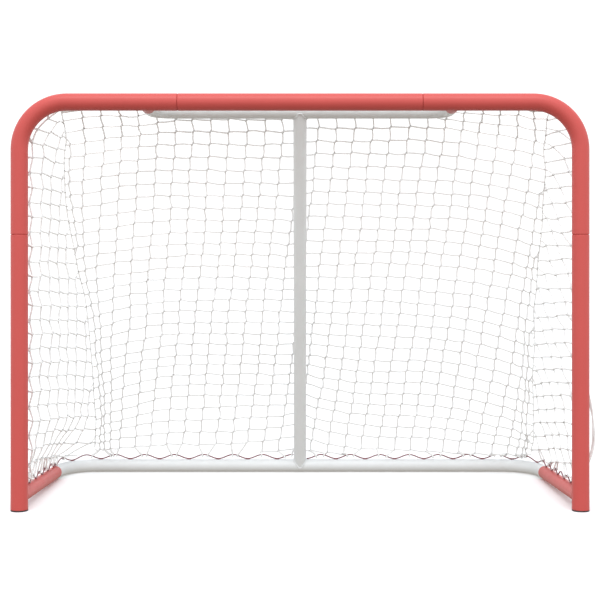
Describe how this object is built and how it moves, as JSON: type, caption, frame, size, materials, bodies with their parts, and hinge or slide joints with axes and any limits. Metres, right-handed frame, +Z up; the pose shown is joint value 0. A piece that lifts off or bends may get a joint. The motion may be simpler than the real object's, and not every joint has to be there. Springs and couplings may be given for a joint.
{
  "type": "hockey goal",
  "caption": "Free-standing hockey goal: red tube mouth with rounded corners, white rear frame and shelf, and a white twine net that stops the shots.",
  "frame": {"origin": "middle of the goal's footprint, on the floor", "axes": "+X to the right seen from the front, +Y from the mouth to the back of the net, +Z up"},
  "size_m": [1.6, 0.672, 1.154],
  "materials": {
    "red_paint": "semi-gloss powder coat",
    "white_paint": "satin powder coat",
    "rod_paint": "powder coat",
    "cap_plastic": "matte",
    "screw_zinc": "zinc plated",
    "net_twine": "knotted polyester twine"
  },
  "bodies": {
    "root": {"center_post": "white_paint", "crossbar_lacing_rod": "rod_paint", "crossbar_tube": "red_paint", "ground_bar": "white_paint", "left_corner_lacing_rod": "rod_paint", "left_corner_tube": "red_paint", "left_crossbar_screw": "screw_zinc", "left_foot_cap": "cap_plastic", "left_ground_lacing_rod": "rod_paint", "left_post": "red_paint", "left_post_lacing_rod": "rod_paint", "left_post_screw": "screw_zinc", "left_rail_lacing_rod": "rod_paint", "left_rail_screw": "screw_zinc", "left_shelf_screw": "screw_zinc", "left_shelf_stub": "red_paint", "left_side_rail": "red_paint", "net_back": "net_twine", "net_left_corner": "net_twine", "net_left_flank": "net_twine", "net_left_roof": "net_twine", "net_left_shoulder": "net_twine", "net_left_side": "net_twine", "net_right_corner": "net_twine", "net_right_flank": "net_twine", "net_right_roof": "net_twine", "net_right_shoulder": "net_twine", "net_right_side": "net_twine", "net_top": "net_twine", "right_corner_lacing_rod": "rod_paint", "right_corner_tube": "red_paint", "right_crossbar_screw": "screw_zinc", "right_foot_cap": "cap_plastic", "right_ground_lacing_rod": "rod_paint", "right_post": "red_paint", "right_post_lacing_rod": "rod_paint", "right_post_screw": "screw_zinc", "right_rail_lacing_rod": "rod_paint", "right_rail_screw": "screw_zinc", "right_shelf_screw": "screw_zinc", "right_shelf_stub": "red_paint", "right_side_rail": "red_paint", "shelf_bar": "white_paint"}
  },
  "joints": []
}
